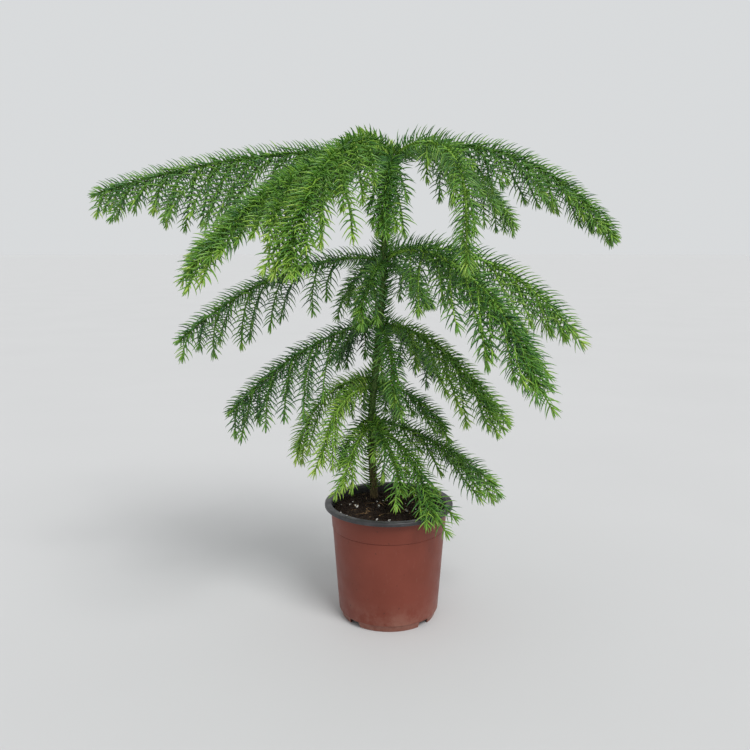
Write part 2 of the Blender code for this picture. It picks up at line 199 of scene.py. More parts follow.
BRANCH_RADIUS_SHARE = 0.0030
BRANCH_TIP_RADIUS = 0.0007
SIDE_RADIUS = 0.0007
SIDE_TIP_RADIUS = 0.0005

# ---- needles ----
AXIS_NEEDLE_SPACING = 0.00056
SIDE_NEEDLE_SPACING = 0.00104
AXIS_NEEDLE_SHARE = 0.92
NEEDLE_LENGTH = 0.0138
NEEDLE_TIP_SHARE = 0.60
NEEDLE_WIDTH = 0.00078
NEEDLE_THICKNESS = 0.75
NEEDLE_TAPER = 2.6
NEEDLE_LEAVE = 78
NEEDLE_END = 30
NEEDLE_RINGS = (0.0, 0.28, 0.56, 0.80)
NEEDLE_SIDES = 4
NEEDLE_CORNERS = NEEDLE_SIDES * len(NEEDLE_RINGS) + 1
NEEDLE_ROWS = 5
ROW_STEP = 2
ROW_SCATTER = 0.22
LENGTH_SCATTER = 0.09
LENGTH_RANGE = (0.7, 1.3)
ANGLE_SCATTER = 0.07
STEP_SCATTER = 0.6
TIP_STRETCH = 0.014
TIP_CLOSING = 0.40
TUFT_COUNT = 7
TUFT_DEPTH = 0.0012
TUFT_ANGLES = (8.0, 46.0)
TUFT_END_SHARE = 0.4
LEAST_BEND = 0.02
TWIG_INSET = 0.0002
ROUTE_SPACING = 0.002
TWIG_SPACING = 0.004
BRANCH_BARE = 0.001
SIDE_BARE = 0.0015
AXIS_SIDES = 10
SHOOT_SIDES = 6
STRAND_SIDES = 5
TRUNK_SIDES = 28
TRUNK_RING_SPACING = 0.0010
TRUNK_SMOOTHING = 25
SPIRAL_ARMS = 8.0
SPIRAL_PITCH = 1900.0
COUNTER_ARMS = 5.0
COUNTER_PITCH = 2300.0
LEAF_BASE_DEPTH = 0.03
BARK_ROUGHNESS = 0.015
# lowest height, highest height, spacing, scale and youth of the trunk's needles
TRUNK_CLOTHING = [
    (0.112, 0.165, 0.00050, 0.82, 0.58),
    (0.165, 0.240, 0.00042, 0.92, 0.42),
    (0.240, 0.430, 0.00036, 0.95, 0.36),
]
CLOTHING_STEPS = 12
BUD_LENGTH = 0.008
BUD_YOUTH = 0.62
BUD_SCALE = 0.7

# ---- tints: 0 is dark blue-green, 1 is bright yellow-green ----
TIP_YOUTH = 0.22
TINT_SPREAD = 0.14
SHOOT_SPREAD = 0.05
MAP_WIDTH = 0.004
TINT_RANGE = (0.02, 0.98)
YOUTH = 0.38
# Tint of each branch: partly the yellow-green of its new growth, partly painted light and shade, as branches
# were made lighter or darker to match how brightly each stood lit.
BRANCH_YOUTH_AND_PAINTED_LIGHT = {
    "top_left": 0.40,
    "top_front_left": 0.48,
    "top_front": 0.54,
    "top_right": 0.42,
    "top_front_right": 0.46,
    "second_left": 0.34,
    "second_right": 0.36,
    "second_far_right": 0.46,
    "third_left": 0.30,
    "third_right": 0.50,
    "third_back_right": 0.22,
    "third_back_left": 0.22,
    "fourth_left": 0.62,
    "fourth_front_left": 0.70,
    "fifth_front_left": 0.62,
    "fifth_front": 0.50,
    "fifth_front_right": 0.44,
    "fifth_right": 0.44,
}
NEEDLE_SCALE = {
    "second_right": 1.20,
    "second_far_right": 1.30,
    "top_front_right": 1.30,
    "fourth_left": 1.10,
    "fourth_front_left": 1.15,
    "fifth_front_left": 1.10,
    "fifth_front_right": 1.15,
    "fifth_right": 1.10,
}
BRIGHT_SHOOTS = (
    "second_right",
    "second_far_right",
    "top_front_right",
    "fourth_front_left",
    "fifth_front_left",
)

# ---- light ----
WORLD_COLOUR = (0.690, 0.705, 0.715)
FLOOR_GREY = 0.555
FLOOR_SIZE = 60.0
SUN_FROM = (0.9, -1.3, 1.9)
SUN_STRENGTH = 2.2
SUN_ANGLE = 28


# ---- growth, as in the model ----
def heading(azimuth, elevation):
    """The unit vector at an azimuth and an elevation in degrees."""
    azimuth = math.radians(azimuth)
    elevation = math.radians(elevation)
    level = math.cos(elevation)
    return Vector((level * math.cos(azimuth), level * math.sin(azimuth), math.sin(elevation)))


def grow(start, azimuth, rise, droop, turn, length, steps):
    """Points and headings of a shoot that leaves at `rise`, bends down to `droop` and swings by `turn`."""
    points = [Vector(start)]
    headings = []
    for step in range(steps):
        share = (step + 0.5) / steps
        elevation = rise + (droop - rise) * share ** BEND_POWER
        side = azimuth + turn * share
        headings.append((side, elevation))
        points.append(points[-1] + heading(side, elevation) * (length / steps))
    return points, headings


def trunk_centre(height):
    """The trunk's centre at a height."""
    for low, high in zip(TRUNK_ROUTE, TRUNK_ROUTE[1:]):
        if height <= high[2]:
            break
    share = (height - low[2]) / (high[2] - low[2])
    return Vector(low).lerp(Vector(high), share)


def trunk_radius(height):
    """The trunk's radius at a height, with a swelling at each whorl."""
    base, top = TRUNK_ROUTE[1][2], TRUNK_ROUTE[-1][2]
    share = min(1.0, max(0.0, (height - base) / (top - base)))
    radius = TRUNK_FOOT_RADIUS + (TRUNK_TOP_RADIUS - TRUNK_FOOT_RADIUS) * share
    for whorl in WHORL_HEIGHTS:
        nearness = max(0.0, 1.0 - abs(height - whorl) / WHORL_HALF_HEIGHT)
        radius += WHORL_SWELLING * nearness
    return radius


def sampled(points):
    """Points along a route, no more than the sample spacing apart."""
    samples = [np.array(points[0])]
    for first, second in zip(points, points[1:]):
        count = max(1, math.ceil((second - first).length / SAMPLE_SPACING))
        for index in range(count):
            samples.append(np.array(first.lerp(second, (index + 1) / count)))
    return np.array(samples)


def is_clear(samples, name, taken):
    """Whether a shoot's samples keep clear of the trunk, the pot and every other branch."""
    for x, y, z in samples:
        centre = trunk_centre(z)
        if math.hypot(x - centre.x, y - centre.y) < TRUNK_CLEARANCE:
            return False
        if z < POT_HEIGHT + POT_CLEARANCE and math.hypot(x, y) < RIM_RADIUS + POT_CLEARANCE:
            return False
    for other, cloud in taken:
        if other != name:
            apart = np.linalg.norm(samples[:, None, :] - cloud[None, :, :], axis=2)
            if apart.min() < SHOOT_CLEARANCE:
                return False
    return True


def side_length(share, length):
    """Length of a side shoot: longest in the middle of the branch and shorter towards its ends."""
    fullness = math.sin(math.pi * (FULLNESS_START + (FULLNESS_END - FULLNESS_START) * share))
    return length * (SHORTEST_SHARE + (1.0 - SHORTEST_SHARE) * fullness)


def side_shoots(name, points, headings, taken):
    """The side shoots of a branch, left and right in turn, each trimmed until it is clear."""
    count, length, hang = BRANCHES[name][6:]
    rng = random.Random(name)
    shoots = []
    for index in range(count):
        share = SIDE_FIRST + (SIDE_LAST - SIDE_FIRST) * (index + 0.5) / count
        step = int(share * BRANCH_STEPS)
        start = points[step].lerp(points[step + 1], share * BRANCH_STEPS - step)
        azimuth, elevation = headings[step]
        side = 1 if index % 2 else -1
        leave = azimuth + side * (SIDE_SPREAD + rng.uniform(-SPREAD_SCATTER, SPREAD_SCATTER))
        reach = side_length(share, length) * rng.uniform(*REACH_RANGE)
        rise = SIDE_RISE_SHARE * elevation - SIDE_DIP
        droop = hang + rng.uniform(-HANG_SCATTER, HANG_SCATTER)
        for trim in TRIM_SHARES:
            shoot, _ = grow(start, leave, rise, droop, -SIDE_TURN * side, reach * trim, SIDE_STEPS)
            samples = np.concatenate([sampled(shoot), sampled(shoot[::CAD_STRIDE])])
            if is_clear(samples, name, taken):
                shoots.append(shoot)
                taken.append((name, samples))
                break
    return shoots


def grow_branches():
    """Every branch's points, and its side shoots' points, by name."""
    axes = {}
    taken = []
    for name, (height, azimuth, length, rise, droop, turn, _, _, _) in BRANCHES.items():
        start = trunk_centre(height) + heading(azimuth, 0) * BRANCH_OFFSET
        axes[name] = grow(start, azimuth, rise, droop, turn, length, BRANCH_STEPS)
        taken.append((name, sampled(axes[name][0])))
    return {
        name: (points, side_shoots(name, points, headings, taken))
        for name, (points, headings) in axes.items()
    }


# ---- mesh helpers ----
def collect(name):
    """A collection for the looks."""
    collection = bpy.data.collections.new(name)
    bpy.context.scene.collection.children.link(collection)
    return collection


looks = collect("looks")


def piece_from(name, vertices, faces, materials, material_index=None, smooth=True):
    """A mesh object that rides on the plant's one body."""
    mesh = bpy.data.meshes.new(name)
    mesh.from_pydata(vertices, [], faces)
    mesh.update()
    for material in materials:
        mesh.materials.append(material)
    if material_index is not None:
        mesh.polygons.foreach_set("material_index", material_index)
    mesh.polygons.foreach_set("use_smooth", [smooth] * len(mesh.polygons))
    piece = bpy.data.objects.new(name, mesh)
    looks.objects.link(piece)
    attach(piece, "root")
    return piece


def smooth_route(points, spacing):
    """A dense route through the points of a shoot, and its unit tangents."""
    points = np.array([tuple(point) for point in points])
    lengths = np.linalg.norm(np.diff(points, axis=0), axis=1)
    at = np.concatenate([[0.0], np.cumsum(lengths)])
    count = max(4, int(math.ceil(at[-1] / spacing)) + 1)
    wanted = np.linspace(0.0, at[-1], count)
    tangents = np.gradient(points, at, axis=0)
    index = np.clip(np.searchsorted(at, wanted, side="right") - 1, 0, len(lengths) - 1)
    share = ((wanted - at[index]) / lengths[index])[:, None]
    step = lengths[index][:, None]
    hermite = (
        (2 * share**3 - 3 * share**2 + 1) * points[index]
        + (share**3 - 2 * share**2 + share) * step * tangents[index]
        + (-2 * share**3 + 3 * share**2) * points[index + 1]
        + (share**3 - share**2) * step * tangents[index + 1]
    )
    along = np.gradient(hermite, wanted, axis=0)
    return hermite, along / np.linalg.norm(along, axis=1)[:, None], wanted


def side_frame(tangents):
    """Two unit vectors across each tangent, with no twist from one to the next."""
    across = np.empty_like(tangents)
    guide = np.array([0.0, 0.0, 1.0]) if abs(tangents[0][2]) < 0.9 else np.array([0.0, 1.0, 0.0])
    for index, tangent in enumerate(tangents):
        guide = guide - tangent * (guide @ tangent)
        guide = guide / np.linalg.norm(guide)
        across[index] = guide
    return across, np.cross(tangents, across)


def tube_mesh(route, tangents, radii, sides):
    """Vertices and faces of a closed tube along a route."""
    across, other = side_frame(tangents)
    angles = np.arange(sides) * 2.0 * math.pi / sides
    ring = (
        np.cos(angles)[None, :, None] * across[:, None, :]
        + np.sin(angles)[None, :, None] * other[:, None, :]
    )
    vertices = (route[:, None, :] + ring * np.broadcast_to(radii, (len(route), sides))[:, :, None])
    vertices = vertices.reshape(-1, 3)
    faces = []
    for row in range(len(route) - 1):
        for column in range(sides):
            after = (column + 1) % sides
            low = row * sides
            high = low + sides
            faces.append((low + column, low + after, high + after, high + column))
    faces.append(tuple(range(sides - 1, -1, -1)))
    last = (len(route) - 1) * sides
    faces.append(tuple(range(last, last + sides)))
    return vertices, faces


def joined(meshes):
    """One list of vertices and one of faces from several."""
    vertices = []
    faces = []
    offset = 0
    for part_vertices, part_faces in meshes:
        vertices.append(np.asarray(part_vertices))
        faces.extend(tuple(index + offset for index in face) for face in part_faces)
        offset += len(part_vertices)
    return np.concatenate(vertices), faces


def turned_mesh(profile, steps):
    """A turned solid from a profile that runs from the axis round to the axis, inside first."""
    vertices = [(0.0, 0.0, profile[0][1])]
    rings = profile[1:-1]
    for radius, height in rings:
        for step in range(steps):
            angle = 2.0 * math.pi * step / steps
            vertices.append((radius * math.cos(angle), radius * math.sin(angle), height))
    vertices.append((0.0, 0.0, profile[-1][1]))
    last = len(vertices) - 1
    faces = []
    for step in range(steps):
        after = (step + 1) % steps
        faces.append((0, 1 + step, 1 + after))
        for row in range(len(rings) - 1):
            low = 1 + row * steps
            high = low + steps
            faces.append((low + step, high + step, high + after, low + after))
        low = 1 + (len(rings) - 1) * steps
        faces.append((low + step, last, low + after))
    return vertices, faces


# ---- materials ----
def principled(name, roughness, specular=0.5):
    """A new node material and its shader, with the values that are the same all over."""
    material = bpy.data.materials.new(name)
    material.use_nodes = True
    shader = material.node_tree.nodes["Principled BSDF"]
    shader.inputs["Roughness"].default_value = roughness
    shader.inputs["Specular IOR Level"].default_value = specular
    return material, shader


def node(material, kind, **settings):
    """A new node with some of its properties set."""
    made = material.node_tree.nodes.new(kind)
    for key, value in settings.items():
        setattr(made, key, value)
    return made


def link(material, source, target):
    """Link one socket to another."""
    material.node_tree.links.new(source, target)


def ramp(material, factor, stops):
    """A colour ramp on a factor. A stop is (place, colour)."""
    made = node(material, "ShaderNodeValToRGB")
    elements = made.color_ramp.elements
    while len(elements) < len(stops):
        elements.new(1.0)
    for element, (place, colour) in zip(elements, stops):
        element.position = place
        element.color = (*colour, 1.0)
    link(material, factor, made.inputs["Fac"])
    return made.outputs["Color"]


def noise_at(material, scale, detail=3.0, roughness=0.55, stretch=(1.0, 1.0, 1.0)):
    """Noise over the object's own space, in cycles a metre."""
    place = node(material, "ShaderNodeTexCoord")
    mapping = node(material, "ShaderNodeMapping")
    mapping.inputs["Scale"].default_value = stretch
    texture = node(material, "ShaderNodeTexNoise")
    texture.inputs["Scale"].default_value = scale
    texture.inputs["Detail"].default_value = detail
    texture.inputs["Roughness"].default_value = roughness
    link(material, place.outputs["Object"], mapping.inputs["Vector"])
    link(material, mapping.outputs["Vector"], texture.inputs["Vector"])
    return texture.outputs["Fac"]


def mixed(material, factor, first, second, blend="MIX"):
    """A colour mix. Each input is a socket or a plain value."""
    made = node(material, "ShaderNodeMix", data_type="RGBA", blend_type=blend)
    for socket, value in ((made.inputs[0], factor), (made.inputs[6], first), (made.inputs[7], second)):
        if hasattr(value, "is_linked"):
            link(material, value, socket)
        elif isinstance(value, tuple):
            socket.default_value = (*value, 1.0)
        else:
            socket.default_value = value
    return made.outputs[2]


def ranged(material, value, low, high):
    """A value mapped so that `low` gives 0 and `high` gives 1."""
    made = node(material, "ShaderNodeMapRange")
    made.inputs["From Min"].default_value = low
    made.inputs["From Max"].default_value = high
    link(material, value, made.inputs["Value"])
    return made.outputs["Result"]


def combined(material, operation, first, second):
    """Two values put together by an operation."""
    made = node(material, "ShaderNodeMath", operation=operation)
    link(material, first, made.inputs[0])
    link(material, second, made.inputs[1])
    return made.outputs["Value"]


def grey(value):
    """A grey as a colour."""
    return (value, value, value)


def bump(material, shader, height, strength, distance):
    """Raise a surface by a height socket."""
    made = node(material, "ShaderNodeBump")
    made.inputs["Strength"].default_value = strength
    made.inputs["Distance"].default_value = distance
    link(material, height, made.inputs["Height"])
    link(material, made.outputs["Normal"], shader.inputs["Normal"])


def needle_material():
    """Needle green. The needle's map gives its tint across and the way along it up."""
    material, shader = principled("needle_green", 0.35, 0.50)
    place = node(material, "ShaderNodeUVMap", uv_map="OFBake")
    parts = node(material, "ShaderNodeSeparateXYZ")
    link(material, place.outputs["UV"], parts.inputs["Vector"])
    tint = ramp(material, parts.outputs["X"], [
        (0.0, (0.012, 0.066, 0.026)),
        (0.28, (0.044, 0.160, 0.028)),
        (0.52, (0.125, 0.310, 0.032)),
        (0.76, (0.250, 0.440, 0.050)),
        (1.0, (0.430, 0.590, 0.100)),
    ])
    paleness = ramp(material, parts.outputs["Y"], [
        (0.0, grey(0.40)),
        (0.22, grey(0.04)),
        (0.90, grey(0.0)),
        (1.0, grey(0.22)),
    ])
    colour = mixed(material, paleness, tint, (0.260, 0.400, 0.090))
    link(material, colour, shader.inputs["Base Color"])
    return material


def twig_material(name, dark, middle, pale):
    """The skin of the young shoots, in three greens."""
    material, shader = principled(name, 0.55, 0.35)
    blotches = noise_at(material, 420.0)
    colour = ramp(material, blotches, [(0.30, dark), (0.55, middle), (0.75, pale)])
    link(material, colour, shader.inputs["Base Color"])
    bump(material, shader, noise_at(material, 1500.0, 2.0), 0.35, 0.0003)
    return material


def bark_material():
    """Bark: scaly brown by the soil, turning green up the trunk."""
    material, shader = principled("bark", 0.78, 0.30)
    place = node(material, "ShaderNodeTexCoord")
    parts = node(material, "ShaderNodeSeparateXYZ")
    link(material, place.outputs["Object"], parts.inputs["Vector"])
    level = ranged(material, parts.outputs["Z"], 0.095, 0.185)
    scales = noise_at(material, 900.0, 5.0, 0.62, (1.0, 1.0, 0.35))
    brown = ramp(material, scales, [
        (0.30, (0.030, 0.018, 0.010)),
        (0.50, (0.110, 0.066, 0.032)),
        (0.68, (0.230, 0.160, 0.085)),
    ])
    green = ramp(material, scales, [
        (0.30, (0.040, 0.075, 0.020)),
        (0.52, (0.095, 0.170, 0.040)),
        (0.72, (0.190, 0.250, 0.075)),
    ])
    colour = mixed(material, level, brown, green)
    link(material, colour, shader.inputs["Base Color"])
    bump(material, shader, scales, 0.9, 0.0005)
    return material


def terracotta_material():
    """Moulded brown-red plastic with a faint mottle, dust low down, fine scuffs and specks of dirt."""
    material, shader = principled("pot_terracotta", 0.40, 0.28)
    mottle = ramp(material, noise_at(material, 28.0, 4.0), [
        (0.30, (0.160, 0.036, 0.021)),
        (0.70, (0.192, 0.045, 0.028)),
    ])
    place = node(material, "ShaderNodeTexCoord")
    parts = node(material, "ShaderNodeSeparateXYZ")
    link(material, place.outputs["Object"], parts.inputs["Vector"])
    low = ranged(material, parts.outputs["Z"], 0.030, 0.0)
    foot = ranged(material, parts.outputs["Z"], FOOT_HEIGHT + 0.0002, FOOT_HEIGHT - 0.0006)
    cloud = ramp(material, noise_at(material, 60.0, 6.0, 0.65), [(0.42, grey(0.0)), (0.66, grey(0.75))])
    streaks = ramp(material, noise_at(material, 180.0, 4.0), [(0.30, grey(0.30)), (0.70, grey(0.75))])
    cloud_share = combined(material, "MULTIPLY", cloud, low)
    foot_share = combined(material, "MULTIPLY", streaks, foot)
    dust_share = combined(material, "MAXIMUM", cloud_share, foot_share)
    dusty = mixed(material, dust_share, mottle, (0.290, 0.145, 0.108))
    scuffs = ramp(material, noise_at(material, 900.0, 2.0, 0.5, (1.0, 1.0, 0.12)), [
        (0.66, grey(0.0)),
        (0.80, grey(0.28)),
    ])
    scuffed = mixed(material, scuffs, dusty, (0.300, 0.150, 0.112))
    specks = ramp(material, noise_at(material, 520.0, 1.0), [(0.74, grey(0.0)), (0.78, grey(0.85))])
    colour = mixed(material, specks, scuffed, (0.030, 0.018, 0.012))
    link(material, colour, shader.inputs["Base Color"])
    shine = ramp(material, noise_at(material, 75.0, 4.0), [(0.30, grey(0.34)), (0.70, grey(0.50))])
    link(material, shine, shader.inputs["Roughness"])
    bump(material, shader, noise_at(material, 1400.0, 2.0), 0.10, 0.0002)
    return material


def dark_plastic_material():
    """The pot's dark grey inner layer and rim, dusty and lightly scratched."""
    material, shader = principled("pot_dark_inside", 0.38, 0.50)
    dust = ramp(material, noise_at(material, 130.0, 6.0, 0.65), [
        (0.35, (0.018, 0.018, 0.020)),
        (0.60, (0.038, 0.036, 0.039)),
        (0.80, (0.085, 0.080, 0.082)),
    ])
    scratches = ramp(material, noise_at(material, 260.0, 2.0, 0.5, (1.0, 1.0, 6.0)), [
        (0.66, grey(0.0)),
        (0.76, grey(0.35)),
    ])
    colour = mixed(material, scratches, dust, (0.160, 0.150, 0.148))
    link(material, colour, shader.inputs["Base Color"])
    shine = ramp(material, noise_at(material, 110.0, 4.0), [(0.30, grey(0.30)), (0.70, grey(0.52))])
    link(material, shine, shader.inputs["Roughness"])
    return material


def peat_material():
    """Moist dark peat, from near black to brown."""
    material, shader = principled("peat", 0.90, 0.25)
    colour = ramp(material, noise_at(material, 650.0, 5.0, 0.6), [
        (0.30, (0.006, 0.004, 0.003)),
        (0.52, (0.022, 0.013, 0.008)),
        (0.72, (0.062, 0.038, 0.022)),
    ])
    link(material, colour, shader.inputs["Base Color"])
    bump(material, shader, noise_at(material, 1800.0, 3.0), 0.8, 0.0005)
    return material


def perlite_material():
    """White expanded perlite, a little soiled."""
    material, shader = principled("perlite", 0.85, 0.30)
    colour = ramp(material, noise_at(material, 1300.0, 3.0), [
        (0.30, (0.420, 0.390, 0.340)),
        (0.60, (0.760, 0.745, 0.710)),
    ])
    link(material, colour, shader.inputs["Base Color"])
    bump(material, shader, noise_at(material, 2600.0, 2.0), 0.6, 0.0003)
    return material


def litter_material():
    """Dry tan fibres and fallen needles."""
    material, shader = principled("dry_litter", 0.80, 0.25)
    colour = ramp(material, noise_at(material, 240.0, 3.0), [
        (0.30, (0.110, 0.062, 0.028)),
        (0.55, (0.270, 0.165, 0.080)),
        (0.75, (0.420, 0.300, 0.160)),
    ])
    link(material, colour, shader.inputs["Base Color"])
    return material


def floor_material():
    """Plain pale floor."""
    material, shader = principled("floor", 0.70, 0.20)
    colour = ramp(material, noise_at(material, 3.0, 2.0), [
        (0.3, grey(FLOOR_GREY - 0.006)),
        (0.7, grey(FLOOR_GREY + 0.006)),
    ])
    link(material, colour, shader.inputs["Base Color"])
    return material


# ---- needles and twigs ----
def interpolate(values, at, wanted):
    """Vectors along a route at the wanted distances."""
    return np.stack([np.interp(wanted, at, values[:, axis]) for axis in range(3)], axis=1)


def unit(vectors):
    """Vectors at unit length."""
    return vectors / np.linalg.norm(vectors, axis=1)[:, None]


def needle_rows(frames, distances, radii, length, tint_level, scale, rng, tuft):
    """Needles at some distances along a shoot of some radii: their corners and their map places."""
    route, tangents, across, at = frames
    count = len(distances)
    place = interpolate(route, at, distances)
    forward = unit(interpolate(tangents, at, distances))
    side = unit(np.cross(forward, interpolate(across, at, distances)))
    cross = np.cross(side, forward)
    row = (np.arange(count) * ROW_STEP % NEEDLE_ROWS) / NEEDLE_ROWS
    phase = 2.0 * math.pi * row + rng.normal(0.0, ROW_SCATTER, count)
    outward = np.cos(phase)[:, None] * cross + np.sin(phase)[:, None] * side
    flat = np.cross(forward, outward)
    near_tip = np.clip((distances - (length - TIP_STRETCH)) / TIP_STRETCH, 0.0, 1.0)
    size = NEEDLE_LENGTH * scale * (1.0 - (1.0 - NEEDLE_TIP_SHARE) * near_tip)
    size = size * np.clip(rng.normal(1.0, LENGTH_SCATTER, count), *LENGTH_RANGE)
    leave = np.radians(NEEDLE_LEAVE * (1.0 - TIP_CLOSING * near_tip)) + rng.normal(0.0, ANGLE_SCATTER, count)
    end = np.radians(NEEDLE_END) + rng.normal(0.0, ANGLE_SCATTER, count)
    if tuft:
        leave = np.radians(rng.uniform(*TUFT_ANGLES, count))
        end = TUFT_END_SHARE * leave
    bend = np.where(np.abs(end - leave) < LEAST_BEND, -LEAST_BEND, end - leave)
    tint = np.clip(tint_level + TIP_YOUTH * near_tip + rng.normal(0.0, TINT_SPREAD, count), *TINT_RANGE)
    corners = np.empty((count, NEEDLE_CORNERS, 3))
    places = np.empty((count, NEEDLE_CORNERS, 2))
    for ring, share in enumerate((*NEEDLE_RINGS, 1.0)):
        angle = leave + bend * share
        along = (np.sin(angle) - np.sin(leave)) * size / bend
        away = (np.cos(leave) - np.cos(angle)) * size / bend + radii - TWIG_INSET
        centre = place + forward * along[:, None] + outward * away[:, None]
        upright = outward * np.cos(angle)[:, None] - forward * np.sin(angle)[:, None]
        width = NEEDLE_WIDTH * (1.0 - share ** NEEDLE_TAPER)
        for corner in range(NEEDLE_SIDES if share < 1.0 else 1):
            turn = 2.0 * math.pi * corner / NEEDLE_SIDES
            reach = flat * math.cos(turn) + upright * (math.sin(turn) * NEEDLE_THICKNESS)
            index = NEEDLE_SIDES * ring + corner
            corners[:, index] = centre + reach * width
            places[:, index, 0] = tint + MAP_WIDTH * math.cos(turn)
            places[:, index, 1] = share
    return corners, places


def needle_faces():
    """The faces of one needle, as its corners' numbers: its base, its sides and its tip."""
    faces = [tuple(range(NEEDLE_SIDES))]
    for ring in range(len(NEEDLE_RINGS)):
        for corner in range(NEEDLE_SIDES):
            low = NEEDLE_SIDES * ring + corner
            beside = NEEDLE_SIDES * ring + (corner + 1) % NEEDLE_SIDES
            if ring == len(NEEDLE_RINGS) - 1:
                faces.append((beside, low, NEEDLE_CORNERS - 1))
            else:
                faces.append((beside, low, low + NEEDLE_SIDES, beside + NEEDLE_SIDES))
    return faces


def needles_of(points, radii, tint_level, scale, spacing, first, rng):
    """The needles of one shoot, whose radius runs between the two given, and the tuft at its tip."""
    route, tangents, at = smooth_route(points, ROUTE_SPACING)
    across, _ = side_frame(tangents)
    frames = (route, tangents, across, at)
    length = at[-1]
    count = max(1, int((length - first) / spacing))
    distances = first + (np.arange(count) + rng.uniform(0.0, STEP_SCATTER, count)) * spacing
    distances = np.clip(distances, 0.0, length)
    surface = np.interp(distances, (0.0, length), radii)
    body = needle_rows(frames, distances, surface, length, tint_level, scale, rng, False)
    ends = np.full(TUFT_COUNT, length) - rng.uniform(0.0, TUFT_DEPTH, TUFT_COUNT)
    tuft = needle_rows(frames, ends, TWIG_INSET, length, tint_level, scale, rng, True)
    return [body, tuft]


def needle_piece(name, groups, material):
    """One mesh of all the needles in some groups, with the map that colours them."""
    corners = np.concatenate([group[0] for group in groups])
    places = np.concatenate([group[1] for group in groups]).reshape(-1, 2)
    pattern = needle_faces()
    faces = [
        tuple(NEEDLE_CORNERS * needle + corner for corner in face)
        for needle in range(len(corners))
        for face in pattern
    ]
    piece = piece_from(name, corners.reshape(-1, 3).tolist(), faces, [material])
    layer = piece.data.uv_layers.new(name="OFBake")
    vertex = np.empty(len(piece.data.loops), np.int32)
    piece.data.loops.foreach_get("vertex_index", vertex)
    layer.uv.foreach_set("vector", places[vertex].astype(np.float32).ravel())
    return piece


def twig(points, radii, sides):
    """A twig through the points of a shoot, tapered between two radii."""
    route, tangents, at = smooth_route(points, TWIG_SPACING)
    along = np.interp(at, (0.0, at[-1]), radii)
    return tube_mesh(route, tangents, along[:, None], sides)


def check_place(name, points, shoots):
    """Stop if a branch grown here doesn't lie in its model solid's box."""
    low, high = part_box("branch_" + name)
    places = np.array([tuple(point) for route in [points, *shoots] for point in route])
    too_low = (places.min(0) < np.array(low) - PLACE_SLACK).any()
    too_high = (places.max(0) > np.array(high) + PLACE_SLACK).any()
    if too_low or too_high:
        raise RuntimeError("branch %s has left its place in the model" % name)


def build_branches(needle, skin, young_skin):
    """The twigs and the needles of every branch."""
    for name, (points, shoots) in grow_branches().items():
        check_place(name, points, shoots)
        rng = np.random.default_rng(sum(map(ord, name)))
        # The branch's tint holds painted light and shade as well as the colour of its growth.
        tint_level = BRANCH_YOUTH_AND_PAINTED_LIGHT.get(name, YOUTH)
        scale = NEEDLE_SCALE.get(name, 1.0)
        axis_radii = (BRANCH_ROOT_RADIUS + BRANCH_RADIUS_SHARE * BRANCHES[name][2], BRANCH_TIP_RADIUS)
        side_radii = (SIDE_RADIUS, SIDE_TIP_RADIUS)
        twigs = [twig(points, axis_radii, AXIS_SIDES)]
        axis_scale = scale * AXIS_NEEDLE_SHARE
        axis_spacing = scale * AXIS_NEEDLE_SPACING
        side_spacing = scale * SIDE_NEEDLE_SPACING
        groups = needles_of(points, axis_radii, tint_level, axis_scale, axis_spacing, BRANCH_BARE, rng)
        for shoot in shoots:
            twigs.append(twig(shoot, side_radii, SHOOT_SIDES))
            own = tint_level + rng.normal(0.0, SHOOT_SPREAD)
            groups += needles_of(shoot, side_radii, own, scale, side_spacing, SIDE_BARE, rng)
        vertices, faces = joined(twigs)
        material = young_skin if name in BRIGHT_SHOOTS else skin
        piece = piece_from("twigs_" + name, vertices.tolist(), faces, [material])
        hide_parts("branch_" + name)
        needle_piece("needles_" + name, groups, needle)


# ---- trunk ----
def trunk_mesh(rng):
    """The trunk with the low spiral bumps of its old leaf bases."""
    heights = np.arange(TRUNK_ROUTE[0][2], TRUNK_ROUTE[-1][2], TRUNK_RING_SPACING)
    route = np.array([tuple(trunk_centre(height)) for height in heights])
    kernel = np.ones(TRUNK_SMOOTHING) / TRUNK_SMOOTHING
    padded = np.pad(route, ((TRUNK_SMOOTHING // 2,) * 2, (0, 0)), mode="edge")
    for axis in range(2):
        route[:, axis] = np.convolve(padded[:, axis], kernel, "valid")
    angles = np.arange(TRUNK_SIDES) * 2.0 * math.pi / TRUNK_SIDES
    spiral = np.sin(SPIRAL_ARMS * angles[None, :] + heights[:, None] * SPIRAL_PITCH)
    counter = np.sin(COUNTER_ARMS * angles[None, :] - heights[:, None] * COUNTER_PITCH)
    rough = rng.normal(0.0, BARK_ROUGHNESS, spiral.shape)
    smooth = np.array([trunk_radius(height) for height in heights])[:, None]
    radii = smooth * (1.0 + LEAF_BASE_DEPTH * spiral * counter + rough)
    return tube_mesh(route, unit(np.gradient(route, axis=0)), radii, TRUNK_SIDES)


def build_trunk(needle, bark):
    """The trunk and the needles that clothe it."""
    rng = np.random.default_rng(7)
    vertices, faces = trunk_mesh(rng)
    piece = piece_from("trunk_bark", vertices.tolist(), faces, [bark])
    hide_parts("trunk")
    groups = []
    for low, high, spacing, scale, tint_level in TRUNK_CLOTHING:
        steps = range(CLOTHING_STEPS + 1)
        points = [trunk_centre(low + (high - low) * step / CLOTHING_STEPS) for step in steps]
        radii = (trunk_radius(low), trunk_radius(high))
        groups += needles_of(points, radii, tint_level, scale, spacing, 0.0, rng)[:1]
    top = TRUNK_ROUTE[-1][2]
    bud = [trunk_centre(top - BUD_LENGTH * share) for share in (1.0, 0.5, 0.0)]
    groups += needles_of(bud, (TRUNK_TOP_RADIUS,) * 2, BUD_YOUTH, BUD_SCALE, AXIS_NEEDLE_SPACING, 0.0, rng)
    needle_piece("needles_trunk", groups, needle)


